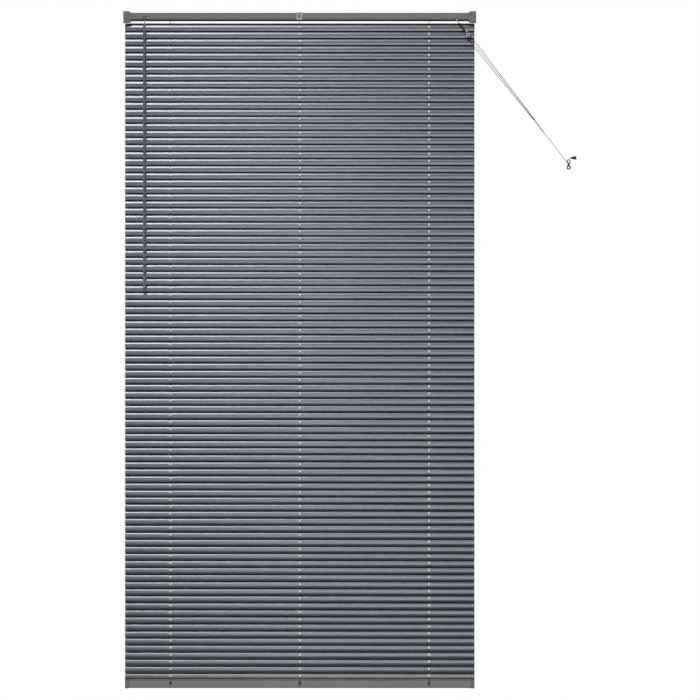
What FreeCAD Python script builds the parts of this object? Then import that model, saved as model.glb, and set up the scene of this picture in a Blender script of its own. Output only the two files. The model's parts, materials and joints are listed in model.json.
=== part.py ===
"""Venetian blind: 25 mm slats on three ladder cords, with a tilt wand, a cord lock and a wall cleat.

Frame: millimetres, +X to the right as seen from the room, +Y into the wall, +Z up.
The origin is on the wall plane, at the middle of the headrail's width and height.
The blind is modelled lowered and closed, with the front edge of each slat down.
"""
import FreeCAD
import Part
import math
import os

os.makedirs("parts", exist_ok=True)
Vector = FreeCAD.Vector

# Driving dimensions
slat_length = 1090.0
slat_chord = 24.6
slat_radius = 35.0
slat_thickness = 0.25
slat_pitch = 22.0
slat_count = 93
first_slat_z = -31.2
closed_tilt = 70.0
top_group = 2
group_size = 7
blind_y = -15.5
ladder_x = (-403.0, 0.0, 403.0)

rail_half_length = 548.3
rail_size = 25.0
rail_wall = 0.8
rail_fold = 2.6
rail_fold_rise = 4.4
rail_front = blind_y - rail_size / 2
rail_back = blind_y + rail_size / 2

bracket_inner_x = 526.0
bracket_outer_x = 550.0
bracket_half_height = 17.5
bracket_sheet = 1.0
wall_screw_x = 538.0
wall_screw_z = 8.0
wall_screw_r = 2.2
door_axis_y = -30.0
door_axis_z = 16.2

string_r = 0.5
rung_r = 0.35
front_string_y = -20.55
back_string_y = -10.64
lift_cord_r = 0.6
pull_cord_r = 0.8
lower_cord_r = 0.8
lift_cord_shift = 0.5
lift_cord_y = -17.2
rung_shift = -0.48
rail_cord_z = -9.9

rod_flats = 5.0
drum_r = 7.9
flange_r = 8.6

tilter_x = -484.0
shaft_lean = 25.0
gear_module = 0.6
wheel_teeth = 14
worm_pitch_r = 2.6
ball_r = 2.6
ball_z = -24.0
wand_bottom_z = -845.0

bottom_rail_z = -2080.2
bottom_rail_depth = 25.0
bottom_rail_height = 10.0

lock_x = 489.5
roller_z = -8.3
roller_r = 3.0
roller_wrap = 3.85
cord_roller_y = (-23.4, -26.6, -25.0)
cord_row_y = (-13.5, -17.5, -15.5)
cord_fan = (Vector(550.0, -28.6, -80.8), Vector(548.0, -32.2, -89.2), Vector(546.0, -28.2, -98.4))
joiner_top = Vector(731.0, -25.2, -321.0)
joiner_end = Vector(758.0, -24.4, -357.0)
cleat_x = 839.0
cleat_z = -459.5
cleat_rings = ((9.5, 6.6, 3.6), (-9.5, 5.3, 3.2))
tassel_start = 6.6
cord_on_cleat = (
    (0.0, -15.2, 0.0), (3.0, -15.0, -3.6), (6.6, -12.6, -7.8), (5.7, -12.2, -13.9),
    (0.0, -12.0, -16.5), (-5.7, -12.2, -13.9), (-6.6, -12.8, -7.8), (-3.0, -16.8, -3.6),
    (0.0, -17.0, 0.0), (4.0, -16.5, 7.0), (2.9, -16.5, 20.0), (15.0, -16.5, 20.0),
)


# Basic shapes

def block(x0, x1, y0, y1, z0, z1):
    """Box between two corners."""
    return Part.makeBox(x1 - x0, y1 - y0, z1 - z0, Vector(x0, y0, z0))


def rod_between(start, end, radius):
    """Round bar from one point to another."""
    along = end - start
    return Part.makeCylinder(radius, along.Length, start, along)


def cord_along(points, radius, wrap_r=None):
    """Round cord along a route: straight runs joined by tangent arcs, each as large as its runs allow.

    wrap_r is the radius of the first bend when the cord goes round a roller.
    """
    edges = []
    start = points[0]
    tightest = None
    for i in range(1, len(points) - 1):
        before = points[i] - points[i - 1]
        after = points[i + 1] - points[i]
        turn = before.getAngle(after)
        cut = 0.45 * min(before.Length, after.Length)
        if wrap_r and i == 1:
            cut = wrap_r * math.tan(turn / 2)
        before.normalize()
        after.normalize()
        bend_r = cut / math.tan(turn / 2)
        tightest = bend_r if tightest is None else min(tightest, bend_r)
        inward = (after - before).normalize()
        top = points[i] + inward * (bend_r * (1 / math.cos(turn / 2) - 1))
        into = points[i] - before * cut
        out = points[i] + after * cut
        edges.append(Part.LineSegment(start, into).toShape())
        edges.append(Part.Arc(into, top, out).toShape())
        start = out
    edges.append(Part.LineSegment(start, points[-1]).toShape())
    if tightest is not None:
        print("cord of radius", radius, "has a tightest bend of", round(tightest, 1))
    section = Part.Wire(Part.makeCircle(radius, points[0], points[1] - points[0]))
    return Part.Wire(edges).makePipeShell([section], True, False)


def prism_x(points, x0, x1):
    """Flat outline in Y and Z, pulled along X."""
    corners = [Vector(x0, y, z) for y, z in points]
    outline = Part.makePolygon(corners + [corners[0]])
    return Part.Face(outline).extrude(Vector(x1 - x0, 0, 0))


def prism_y(points, y0, y1):
    """Flat outline in X and Z, pulled along Y."""
    corners = [Vector(x, y0, z) for x, z in points]
    outline = Part.makePolygon(corners + [corners[0]])
    return Part.Face(outline).extrude(Vector(0, y1 - y0, 0))


def hexagon_x(flats, y, z, x0, x1):
    """Hexagonal bar along X."""
    corner_r = flats / math.sqrt(3)
    points = []
    for k in range(6):
        angle = math.radians(60 * k)
        points.append((y + corner_r * math.cos(angle), z + corner_r * math.sin(angle)))
    return prism_x(points, x0, x1)


def rounded_bar_x(depth, height, radius, x0, x1):
    """Bar along X with rounded long edges, centred on the X axis."""
    bar = block(x0, x1, -depth / 2, depth / 2, -height / 2, height / 2)
    long_edges = []
    for edge in bar.Edges:
        direction = edge.tangentAt(edge.FirstParameter)
        if abs(direction.x) > 0.99:
            long_edges.append(edge)
    return bar.makeFillet(radius, long_edges)


def tilted(shape, z):
    """Turn a part from flat to the closed tilt and move it to its height."""
    placed = shape.copy()
    placed.rotate(Vector(0, 0, 0), Vector(1, 0, 0), closed_tilt)
    placed.translate(Vector(0, blind_y, z))
    return placed


def mirrored(shape):
    """The same part for the other end of the blind."""
    return shape.mirror(Vector(0, 0, 0), Vector(1, 0, 0))


def slat_z(number):
    """Height of a slat's centre, counted from 1 at the top."""
    return first_slat_z - slat_pitch * (number - 1)


def save(name, shapes):
    """Write one node as a STEP file."""
    shape = shapes[0] if len(shapes) == 1 else Part.makeCompound(shapes)
    shape.exportStep("parts/" + name + ".step")


# Slats

def flat_slat():
    """One crowned slat lying flat, with rounded corners and a slot for each lift cord."""
    half = slat_chord / 2
    low_centre = -math.sqrt(slat_radius ** 2 - half ** 2)
    inner_top = Vector(0, 0, low_centre + slat_radius)
    outer_r = slat_radius + slat_thickness
    spread = math.asin(half / slat_radius)
    outer_y = outer_r * math.sin(spread)
    outer_z = low_centre + outer_r * math.cos(spread)
    outer_top = Vector(0, 0, low_centre + outer_r)
    inner = Part.Arc(Vector(0, -half, 0), inner_top, Vector(0, half, 0)).toShape()
    outer = Part.Arc(Vector(0, outer_y, outer_z), outer_top, Vector(0, -outer_y, outer_z)).toShape()
    side_a = Part.makeLine(Vector(0, half, 0), Vector(0, outer_y, outer_z))
    side_b = Part.makeLine(Vector(0, -outer_y, outer_z), Vector(0, -half, 0))
    face = Part.Face(Part.Wire([inner, side_a, outer, side_b]))
    face.translate(Vector(-slat_length / 2, 0, 0))
    strip = face.extrude(Vector(slat_length, 0, 0))
    plan = block(-slat_length / 2, slat_length / 2, -13, 13, -1, 4)
    upright = [e for e in plan.Edges if abs(e.tangentAt(e.FirstParameter).z) > 0.99]
    strip = strip.common(plan.makeFillet(3.0, upright))
    for x in ladder_x:
        slot = block(x - 2.5, x + 2.5, -2.0, 2.0, -1, 4)
        slot = slot.fuse(Part.makeCylinder(2.5, 5, Vector(x, -2.0, -1)))
        slot = slot.fuse(Part.makeCylinder(2.5, 5, Vector(x, 2.0, -1)))
        strip = strip.cut(slot)
    return strip


def slat_groups():
    """First and last slat number of each group, from the top."""
    groups = [(1, top_group)]
    start = top_group + 1
    while start <= slat_count:
        groups.append((start, start + group_size - 1))
        start += group_size
    return groups


def rung(x, z):
    """The rung under one slat, from the front string to the back string."""
    lean = math.radians(closed_tilt)
    below = 0.45
    base_y = blind_y + below * math.sin(lean)
    base_z = z - below * math.cos(lean)
    front_z = base_z + (front_string_y - base_y) * math.tan(lean)
    back_z = base_z + (back_string_y - base_y) * math.tan(lean)
    front = Vector(x + rung_shift, front_string_y, front_z)
    back = Vector(x + rung_shift, back_string_y, back_z)
    return rod_between(front, back, rung_r)


def ladder_section(first, last, to_drum):
    """Strings and rungs of the three ladders beside one group of slats."""
    columns = []
    for x in ladder_x:
        front_top = slat_z(first) + 5.95
        back_top = slat_z(first) + 13.95
        front_low = slat_z(last) - 15.95
        back_low = slat_z(last) - 7.95
        front = [Vector(x, front_string_y, front_low), Vector(x, front_string_y, front_top)]
        back = [Vector(x, back_string_y, back_low), Vector(x, back_string_y, back_top)]
        if to_drum:
            front[1] = Vector(x, front_string_y, -24.0)
            back[1] = Vector(x, back_string_y, -16.0)
            front.append(Vector(x, blind_y - drum_r - 0.75, 0.0))
            back.append(Vector(x, blind_y + drum_r + 0.75, 0.0))
        column = cord_along(front, string_r).fuse(cord_along(back, string_r))
        for number in range(first, last + 1):
            column = column.fuse(rung(x, slat_z(number)))
        columns.append(column)
    return columns


def ladder_tails():
    """Strings from the last slat to the bottom rail."""
    lean = math.radians(closed_tilt)
    tails = []
    for x in ladder_x:
        start_z = slat_z(slat_count) - 16.4
        across = Vector(0, math.cos(lean), math.sin(lean))
        out = Vector(0, -math.sin(lean), math.cos(lean))
        centre = Vector(x, blind_y, bottom_rail_z)
        aside = Vector(-1.7, 0, 0)
        meet = centre + across * 3.88 + out * 6.89 + aside
        low = centre - across * 11.0 + out * 6.35 + aside
        front = [Vector(x, front_string_y, start_z), meet, low]
        back_low = centre + across * 13.4 - out * 0.5
        back = [Vector(x, back_string_y, slat_z(slat_count) - 8.05), back_low]
        tails.append(cord_along(front, string_r))
        tails.append(rod_between(back[0], back[1], string_r))
    return tails


# Headrail

def channel_room(gap):
    """Space inside the headrail, less a gap all round."""
    half = rail_size / 2
    front = rail_front + rail_wall + gap
    back = rail_back - rail_wall - gap
    floor = rail_wall - half + gap
    outline = [
        (front, half + 1), (front, rail_fold_rise - half + gap), (rail_front + rail_fold + gap, floor),
        (rail_back - rail_fold - gap, floor), (back, rail_fold_rise - half + gap), (back, half + 1),
    ]
    return prism_x(outline, -rail_half_length - 1, rail_half_length + 1)


def headrail():
    """Open channel with turned-in lips and its openings."""
    inside_front = rail_front + rail_wall
    inside_back = rail_back - rail_wall
    half = rail_size / 2
    outline = [
        (rail_front, half), (rail_front, rail_fold_rise - half), (rail_front + rail_fold, -half),
        (rail_back - rail_fold, -half), (rail_back, rail_fold_rise - half), (rail_back, half),
    ]
    channel = prism_x(outline, -rail_half_length, rail_half_length)
    channel = channel.cut(channel_room(0.0))
    for y0, y1 in ((inside_front - 0.1, inside_front + 2.2), (inside_back - 2.2, inside_back + 0.1)):
        channel = channel.fuse(block(-rail_half_length, rail_half_length, y0, y1, half - rail_wall, half))
    for x in ladder_x:
        channel = channel.cut(block(x - 3, x + 3, -24.2, -6.8, -half - 1, -half + 1.5))
    channel = channel.cut(block(tilter_x - 3.5, tilter_x + 3.5, rail_front - 1, -21.0, -half - 1, 1.0))
    channel = channel.cut(block(lock_x - 5, lock_x + 5.5, rail_front - 1, -20.0, -half - 1, roller_z + 5.4))
    return channel.removeSplitter()


def headrail_plug():
    """Plug that closes the right end of the channel."""
    plug = block(536, 548.2, rail_front + 0.9, rail_back - 0.9, -11.6, 11.6)
    plug = plug.cut(block(535, 546, rail_front + 2.4, rail_back - 2.4, -9.0, 10.1))
    return plug.common(channel_room(0.1))


def ladder_cradles():
    """A support for the tilt rod over each ladder."""
    cradles = []
    for x in ladder_x:
        cradle = block(x - 10, x + 10, -25.2, -5.8, -11.65, -10.7)
        for side in (-1, 1):
            x0 = min(x + side * 8.5, x + side * 10)
            cheek = block(x0, x0 + 1.5, -22.5, -8.5, -10.8, 5.0)
            cheek = cheek.cut(block(x0 - 1, x0 + 3, -19.5, -11.5, -10.7, -8.9))
            cradle = cradle.fuse(cheek)
        cradle = cradle.cut(block(x - 4.5, x + 4.5, -24.2, -6.8, -12, -10))
        bore = Part.makeCylinder(3.1, 24, Vector(x - 12, blind_y, 0), Vector(1, 0, 0))
        cradles.append(cradle.cut(bore).removeSplitter())
    return cradles


def ladder_drums():
    """A drum on the tilt rod over each ladder, with two flanges."""
    drums = []
    for x in ladder_x:
        drum = Part.makeCylinder(drum_r, 14, Vector(x - 7, blind_y, 0), Vector(1, 0, 0))
        for x0 in (x - 7.0, x + 5.8):
            flange = Part.makeCylinder(flange_r, 1.2, Vector(x0, blind_y, 0), Vector(1, 0, 0))
            drum = drum.fuse(flange)
        drum = drum.cut(hexagon_x(rod_flats + 0.06, blind_y, 0, x - 8, x + 8))
        drums.append(drum.removeSplitter())
    return drums


def tilt_rod():
    """Hexagonal rod from the tilter to the right-hand ladder."""
    return hexagon_x(rod_flats, blind_y, 0, -496.0, 414.5)


# Tilter and wand

def shaft_axes():
    """Direction down the worm shaft, direction from the wheel to the worm, and a point on the shaft."""
    lean = math.radians(shaft_lean)
    down = Vector(0, -math.sin(lean), -math.cos(lean))
    outward = Vector(0, -math.cos(lean), math.sin(lean))
    wheel_pitch_r = gear_module * wheel_teeth / 2
    middle = Vector(tilter_x, blind_y, 0) + outward * (wheel_pitch_r + worm_pitch_r)
    return down, outward, middle


def worm_wheel():
    """Toothed wheel on the tilt rod."""
    down, outward, middle = shaft_axes()
    pitch_r = gear_module * wheel_teeth / 2
    tip_r = pitch_r + 0.5
    root_r = pitch_r - 0.72
    facing = math.atan2(outward.z, outward.y)
    points = []
    for k in range(wheel_teeth):
        centre = facing + 2 * math.pi * (k + 0.5) / wheel_teeth
        for radius, half in ((root_r, -0.42), (tip_r, -0.21), (tip_r, 0.21), (root_r, 0.42)):
            angle = centre + half / radius
            points.append((blind_y + radius * math.cos(angle), radius * math.sin(angle)))
    wheel = prism_x(points, tilter_x - 1.5, tilter_x + 1.5)
    hub = Part.makeCylinder(root_r + 0.05, 7, Vector(tilter_x - 3.5, blind_y, 0), Vector(1, 0, 0))
    wheel = wheel.fuse(hub)
    return wheel.cut(hexagon_x(rod_flats + 0.06, blind_y, 0, tilter_x - 5, tilter_x + 5)).removeSplitter()


def worm_shaft():
    """Worm, shaft and ball, made upright and then turned onto the shaft's line."""
    down, outward, middle = shaft_axes()
    ball_at = (middle.z - ball_z) / math.cos(math.radians(shaft_lean))
    thread_pitch = math.pi * gear_module
    root_r = worm_pitch_r - 0.72
    tip_r = worm_pitch_r + 0.5
    start = -2 * thread_pitch
    turns = 4
    helix = Part.makeHelix(thread_pitch, turns * thread_pitch, root_r)
    helix.translate(Vector(0, 0, start))
    inner = root_r - 0.2
    corners = [
        Vector(inner, 0, start - 0.42),
        Vector(tip_r, 0, start - 0.18),
        Vector(tip_r, 0, start + 0.18),
        Vector(inner, 0, start + 0.42),
    ]
    profile = Part.makePolygon(corners + [corners[0]])
    thread = Part.Wire(helix.Edges).makePipeShell([profile], True, True)
    shaft = Part.makeCylinder(root_r, 11, Vector(0, 0, start - 1.5))
    shaft = shaft.fuse(thread)
    shaft = shaft.fuse(Part.makeCylinder(1.1, ball_at + 5, Vector(0, 0, -5)))
    shaft = shaft.fuse(Part.makeCylinder(1.6, 14, Vector(0, 0, 5)))
    shaft = shaft.fuse(Part.makeSphere(ball_r, Vector(0, 0, ball_at)))
    matrix = FreeCAD.Matrix(
        -outward.x, 1, down.x, middle.x,
        -outward.y, 0, down.y, middle.y,
        -outward.z, 0, down.z, middle.z,
        0, 0, 0, 1,
    )
    shaft.Placement = FreeCAD.Placement(matrix)
    return shaft


def tilter_housing():
    """Housing that carries the worm and the end of the rod."""
    down, outward, middle = shaft_axes()
    housing = block(tilter_x - 8, tilter_x + 8, -27.1, -4.2, -11.6, 9.5)
    housing = housing.common(channel_room(0.1))
    housing = housing.cut(block(tilter_x - 6, tilter_x + 6, -26.3, -5.2, -8.6, 10.0))
    bore = Part.makeCylinder(3.1, 24, Vector(tilter_x - 12, blind_y, 0), Vector(1, 0, 0))
    housing = housing.cut(bore)
    housing = housing.cut(block(tilter_x - 3.5, tilter_x + 3.5, -28, -20.5, -12, 1.0))
    rest = Part.makeCylinder(3.4, 1.6, middle - down * 8.0, down)
    arm = block(tilter_x - 6.5, tilter_x + 6.5, -21.6, -15.8, 8.2, 9.5)
    guide = rest.common(block(-600, 600, -40, 10, -20, 9.5)).fuse(arm)
    guide = guide.cut(rod_between(middle - down * 12, middle + down * 2, 2.0))
    return housing.fuse(guide).removeSplitter()


def ball_centre():
    """Centre of the ball at the end of the worm shaft."""
    down, outward, middle = shaft_axes()
    reach = (middle.z - ball_z) / math.cos(math.radians(shaft_lean))
    return middle + down * reach


def wand_connector():
    """Cup that hangs from the ball, with a bore for the wand's neck."""
    ball = ball_centre()
    cup = Part.makeCylinder(4.0, 16.0, ball + Vector(0, 0, -14.0))
    cup = cup.cut(Part.makeSphere(ball_r + 0.12, ball))
    opening = Part.makeCone(0.0, 8.6, 6.0, ball)
    cup = cup.cut(opening)
    cup = cup.cut(Part.makeCylinder(1.96, 8.0, ball + Vector(0, 0, -15.0)))
    cup = cup.cut(Part.makeCylinder(2.6, 4.0, ball + Vector(0, 0, -9.0)))
    return cup


def wand():
    """Hexagonal wand with a headed neck at the top and a thicker grip at the bottom."""
    ball = ball_centre()
    top_z = ball.z - 14.3
    corner_r = 4.0
    corners = []
    for k in range(6):
        angle = math.radians(60 * k)
        corners.append(Vector(ball.x + corner_r * math.cos(angle), ball.y + corner_r * math.sin(angle), wand_bottom_z + 30))
    body = Part.Face(Part.makePolygon(corners + [corners[0]])).extrude(Vector(0, 0, top_z - wand_bottom_z - 30))
    neck = Part.makeCylinder(1.9, 6.5, Vector(ball.x, ball.y, top_z - 0.5))
    head = Part.makeCylinder(2.5, 3.0, Vector(ball.x, ball.y, ball.z - 8.8))
    grip = Part.makeCone(4.6, 4.2, 34, Vector(ball.x, ball.y, wand_bottom_z))
    return body.fuse(neck).fuse(head).fuse(grip).removeSplitter()


# Brackets

def bracket():
    """Right-hand box bracket with the door's hinge pin."""
    x0 = bracket_inner_x
    x1 = bracket_outer_x
    top = bracket_half_height
    outline = [(x1, -top), (x1, top), (x0 + 5, top), (x0, top - 5), (x0, 5 - top), (x0 + 5, -top)]
    body = prism_y(outline, -bracket_sheet, 0)
    body = body.fuse(block(x1 - bracket_sheet, x1, -29.0, -0.5, -top, top))
    body = body.fuse(block(x0 + 5, x1, -28.6, -0.5, top - bracket_sheet, top))
    body = body.fuse(block(x0 + 5, x1, -29.0, -0.5, -top, bracket_sheet - top))
    for y0, y1 in ((-27.5, -22.0), (-8.0, -3.5)):
        body = body.fuse(block(x0 + 7, x1 - 6, y0, y1, 12.55, top - 0.5))
        body = body.fuse(block(x0 + 7, x1 - 6, y0, y1, 0.5 - top, -12.55))
    body = body.fuse(block(x0 + 5, x1 - 5, -2.95, -0.5, -2.0, 2.0))
    ear_top = top - 0.1
    body = body.fuse(block(x1 - bracket_sheet, x1, -31.2, -28.0, 14.6, ear_top))
    body = body.fuse(block(x0 + 5, x0 + 6.2, -31.2, -27.0, 14.9, ear_top))
    pin_start = Vector(x0 + 5, door_axis_y, door_axis_z)
    body = body.fuse(Part.makeCylinder(0.55, x1 - x0 - 5, pin_start, Vector(1, 0, 0)))
    for z in (-wall_screw_z, wall_screw_z):
        hole = Part.makeCylinder(wall_screw_r, 4, Vector(wall_screw_x, -2.0, z), Vector(0, 1, 0))
        body = body.cut(hole)
    body = body.cut(Part.makeCylinder(wall_screw_r, 6, Vector(wall_screw_x, -15.0, 14)))
    return body.removeSplitter()


def bracket_door():
    """Right-hand door, with its knuckle on the bracket's pin and a thumb lip at the bottom."""
    x0 = bracket_inner_x
    x1 = bracket_outer_x
    low = -bracket_half_height
    outline = [(x1, low), (x1, 13.85), (x0 + 3, 13.85), (x0, 12), (x0, low + 5), (x0 + 5, low)]
    door = prism_y(outline, door_axis_y - 0.5, door_axis_y + 0.5)
    door = door.fuse(block(x0 + 6.8, x1 - 1.4, door_axis_y - 0.5, door_axis_y + 0.5, 13.5, 15.5))
    knuckle = Part.makeCylinder(1.15, x1 - x0 - 8.2, Vector(x0 + 6.8, door_axis_y, door_axis_z), Vector(1, 0, 0))
    door = door.fuse(knuckle)
    door = door.fuse(block(x0 + 8, x1 - 4, door_axis_y - 2.2, door_axis_y, low, low + 1.0))
    bore = Part.makeCylinder(0.62, 30, Vector(x0, door_axis_y, door_axis_z), Vector(1, 0, 0))
    return door.cut(bore).removeSplitter()


def centre_bracket():
    """Clip over the middle of the headrail, with a slotted front tongue."""
    x0 = -10.0
    x1 = 8.0
    clip = block(x0, x1, -29.6, -28.1, -9.0, 14.1)
    clip = clip.fuse(block(x0, x1, -29.6, 0, 12.6, 14.1))
    clip = clip.fuse(block(x0, x1, -1.5, 0, -9.0, 14.1))
    clip = clip.cut(block(-4.25, 2.25, -31, -27, -4.7, 11.0))
    clip = clip.cut(Part.makeCylinder(wall_screw_r, 4, Vector(-1.0, -3, 0), Vector(0, 1, 0)))
    return clip.removeSplitter()


# Cord lock and cords

def lock_housing():
    """Frame of the cord lock, open to the front and below."""
    frame = block(470.5, 506.0, -27.1, -4.5, -8.9, 8.0)
    frame = frame.cut(block(473.0, 503.5, -28.0, -9.0, -10.0, 6.0))
    frame = frame.common(channel_room(0.1))
    frame = frame.fuse(block(lock_x - 2.5, lock_x + 2.5, -18.0, -8.5, -10.6, 6.5))
    socket = rod_between(Vector(lock_x, -20, roller_z), Vector(lock_x, -4, roller_z), 1.2)
    return frame.cut(socket).removeSplitter()


def lock_pin():
    """Pin of the brass roller."""
    pin = rod_between(Vector(lock_x, -28.7, roller_z), Vector(lock_x, -9.0, roller_z), 1.2)
    return pin.fuse(rod_between(Vector(lock_x, -29.3, roller_z), Vector(lock_x, -28.7, roller_z), 1.9))


def lock_roller():
    """Brass roller with a waist for the cords."""
    roller = rod_between(Vector(lock_x, -28.5, roller_z), Vector(lock_x, -23.0, roller_z), roller_r)
    return roller.cut(rod_between(Vector(lock_x, -30, roller_z), Vector(lock_x, -20, roller_z), 1.26))


def lift_cords():
    """One cord for each ladder, from the lock through the slats to the bottom rail."""
    lean = math.radians(closed_tilt)
    across = Vector(0, math.cos(lean), math.sin(lean))
    out = Vector(0, -math.sin(lean), math.cos(lean))
    cords = []
    over = roller_z + roller_wrap
    for k in range(3):
        x = ladder_x[2 - k] + lift_cord_shift
        centre = Vector(x, blind_y, bottom_rail_z)
        points = [
            Vector(lock_x - 0.5, cord_roller_y[k], over),
            Vector(lock_x - 4.8, cord_roller_y[k], over),
            Vector(lock_x - 12.0, cord_row_y[k], rail_cord_z),
            Vector(x + 2.0, cord_row_y[k], rail_cord_z),
            Vector(x, lift_cord_y, -14.0),
            Vector(x, lift_cord_y, bottom_rail_z + 17.5),
            centre + across * 6.0 + out * 6.9 + Vector(1.1, 0, 0),
            centre + out * 7.1,
            centre + out * 3.0,
        ]
        cords.append(cord_along(points, lift_cord_r))
    return cords


def upper_points(k):
    """Route of one pull cord, over the roller and out of the headrail to the joiner."""
    along = (joiner_end - joiner_top).normalize()
    side = Vector(0.8, 0, 0.6) * (1 - k) * 1.65
    y = cord_roller_y[k]
    return [
        Vector(lock_x - 0.5, y, roller_z + roller_wrap),
        Vector(lock_x + roller_wrap, y, roller_z + roller_wrap),
        Vector(lock_x + roller_wrap, y, -14.3),
        cord_fan[k],
        joiner_top - along * 0.15 + side,
    ]


def stop_line(k, x):
    """Point at a distance along X on the first free run of one pull cord, and the cord's direction there."""
    points = upper_points(k)
    along = points[3] - points[2]
    centre = points[2] + along * ((x - points[2].x) / along.x)
    return centre, along.normalize()


def cord_bead():
    """Bead threaded on the first pull cord."""
    centre, along = stop_line(0, 520.0)
    bead = rod_between(centre - along * 3, centre + along * 3, 3.1)
    return bead.cut(rod_between(centre - along * 6, centre + along * 6, pull_cord_r + 0.06))


def cord_ring():
    """Ring that faces the room, drilled across for the second pull cord."""
    centre, along = stop_line(1, 524.0)
    half = Vector(0, 1.6, 0)
    ring = rod_between(centre - half, centre + half, 6.2).cut(rod_between(centre - half * 2, centre + half * 2, 3.0))
    ring = ring.makeFillet(1.2, [edge for edge in ring.Edges if edge.isClosed()])
    return ring.cut(rod_between(centre - along * 9, centre + along * 9, pull_cord_r + 0.08))


def cord_joiner():
    """Sleeve where the three cords become one."""
    along = (joiner_end - joiner_top).normalize()
    sleeve = rod_between(joiner_top, joiner_end, 2.5)
    tip = Part.makeCone(2.5, 1.3, 6, joiner_end, along)
    hole = rod_between(joiner_end - along * 12, joiner_end + along * 8, 0.9)
    return sleeve.fuse(tip).cut(hole).removeSplitter()


def lower_cord():
    """Single cord from the joiner, round the cleat, to the tassel."""
    along = (joiner_end - joiner_top).normalize()
    points = [
        joiner_end - along * 10,
        joiner_end + along * 7,
    ]
    for x, y, z in cord_on_cleat:
        points.append(Vector(cleat_x + x, y, cleat_z + z))
    return cord_along(points, lower_cord_r)


def cleat():
    """Figure-of-eight cleat on a boss, with a screw hole through its middle."""
    shape = block(cleat_x - 2.2, cleat_x + 2.2, -14, -10, cleat_z - 6, cleat_z + 6)
    for rise, outer_r, hole_r in cleat_rings:
        z = cleat_z + rise
        shape = shape.fuse(rod_between(Vector(cleat_x, -14, z), Vector(cleat_x, -10, z), outer_r))
    for rise, outer_r, hole_r in cleat_rings:
        z = cleat_z + rise
        shape = shape.cut(rod_between(Vector(cleat_x, -20, z), Vector(cleat_x, 0, z), hole_r))
    shape = shape.fuse(rod_between(Vector(cleat_x, -14, cleat_z), Vector(cleat_x, 0, cleat_z), 3.2))
    screw = rod_between(Vector(cleat_x, -16, cleat_z), Vector(cleat_x, 2, cleat_z), 1.6)
    return shape.cut(screw).removeSplitter()


def tassel():
    """Cone on the end of the cord, lying on its side."""
    along = Vector(1, 0, 0)
    x, y, z = cord_on_cleat[-1]
    tip = Vector(cleat_x + tassel_start, y, cleat_z + z)
    cone = Part.makeCone(2.8, 6.0, 16.8, tip, along)
    bore = rod_between(tip - along, tip + along * 11, 1.25)
    hollow = Part.makeCone(2.4, 4.8, 6.5, tip + along * 10.8, along)
    return cone.cut(bore).cut(hollow)


# Bottom rail

def bottom_rail():
    """Hollow bottom rail with a hole over each cord."""
    rail = rounded_bar_x(bottom_rail_depth, bottom_rail_height, 2.5, -543.4, 543.4)
    inner = rounded_bar_x(bottom_rail_depth - 1.4, bottom_rail_height - 1.4, 1.8, -550, 550)
    rail = rail.cut(inner)
    for x in ladder_x:
        rail = rail.cut(Part.makeCylinder(3.0, 4, Vector(x, 0, 2.5)))
    return tilted(rail, bottom_rail_z)


def bottom_rail_caps():
    """Cap over each end of the bottom rail."""
    cap = rounded_bar_x(bottom_rail_depth + 2.2, bottom_rail_height + 2.2, 3.4, 532.5, 545.2)
    pocket = rounded_bar_x(bottom_rail_depth + 0.1, bottom_rail_height + 0.1, 2.5, 530, 543.6)
    cap = cap.cut(pocket)
    return [tilted(cap, bottom_rail_z), tilted(mirrored(cap), bottom_rail_z)]


def bottom_rail_plugs():
    """Grommet in each cord hole of the bottom rail."""
    plugs = []
    for x in ladder_x:
        plug = Part.makeCylinder(2.9, 3.1, Vector(x, 0, 2.0))
        plug = plug.fuse(Part.makeCylinder(4.4, 0.7, Vector(x, 0, 5.03)))
        plug = plug.cut(Part.makeCylinder(1.5, 8, Vector(x, 0, 0)))
        plugs.append(tilted(plug.removeSplitter(), bottom_rail_z))
    return plugs


# Write every node

save("headrail", [headrail()])
right_plug = headrail_plug()
save("headrail_plug_right", [right_plug])
save("headrail_plug_left", [mirrored(right_plug)])
right_bracket = bracket()
save("bracket_right", [right_bracket])
save("bracket_left", [mirrored(right_bracket)])
right_door = bracket_door()
save("bracket_door_right", [right_door])
save("bracket_door_left", [mirrored(right_door)])
save("centre_bracket", [centre_bracket()])
save("ladder_cradles", ladder_cradles())
save("ladder_drums", ladder_drums())
save("tilt_rod", [tilt_rod()])
save("tilter_housing", [tilter_housing()])
save("worm_wheel", [worm_wheel()])
save("worm_shaft", [worm_shaft()])
save("wand_connector", [wand_connector()])
save("wand", [wand()])
save("lock_housing", [lock_housing()])
save("lock_pin", [lock_pin()])
save("lock_roller", [lock_roller()])
save("lift_cords", lift_cords())
save("pull_cords", [cord_along(upper_points(k), pull_cord_r, roller_wrap) for k in range(3)])
save("cord_ring", [cord_ring()])
save("cord_bead", [cord_bead()])
save("cord_joiner", [cord_joiner()])
save("pull_cord_lower", [lower_cord()])
save("cord_cleat", [cleat()])
save("tassel", [tassel()])
save("bottom_rail", [bottom_rail()])
save("bottom_rail_caps", bottom_rail_caps())
save("bottom_rail_plugs", bottom_rail_plugs())
save("ladder_tails", ladder_tails())

one_slat = flat_slat()
groups = slat_groups()
for index in range(len(groups)):
    first, last = groups[index]
    label = "%02d" % (index + 1)
    save("slats_" + label, [tilted(one_slat, slat_z(number)) for number in range(first, last + 1)])
    save("ladder_section_" + label, ladder_section(first, last, index == 0))
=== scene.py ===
"""The looks of a venetian blind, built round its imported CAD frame.

Everything is in metres, +Z up, +Y into the wall.
"""

import json
import math

import bmesh
import bpy
from bpy.props import FloatProperty, FloatVectorProperty, PointerProperty
from mathutils import Matrix, Vector


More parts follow.
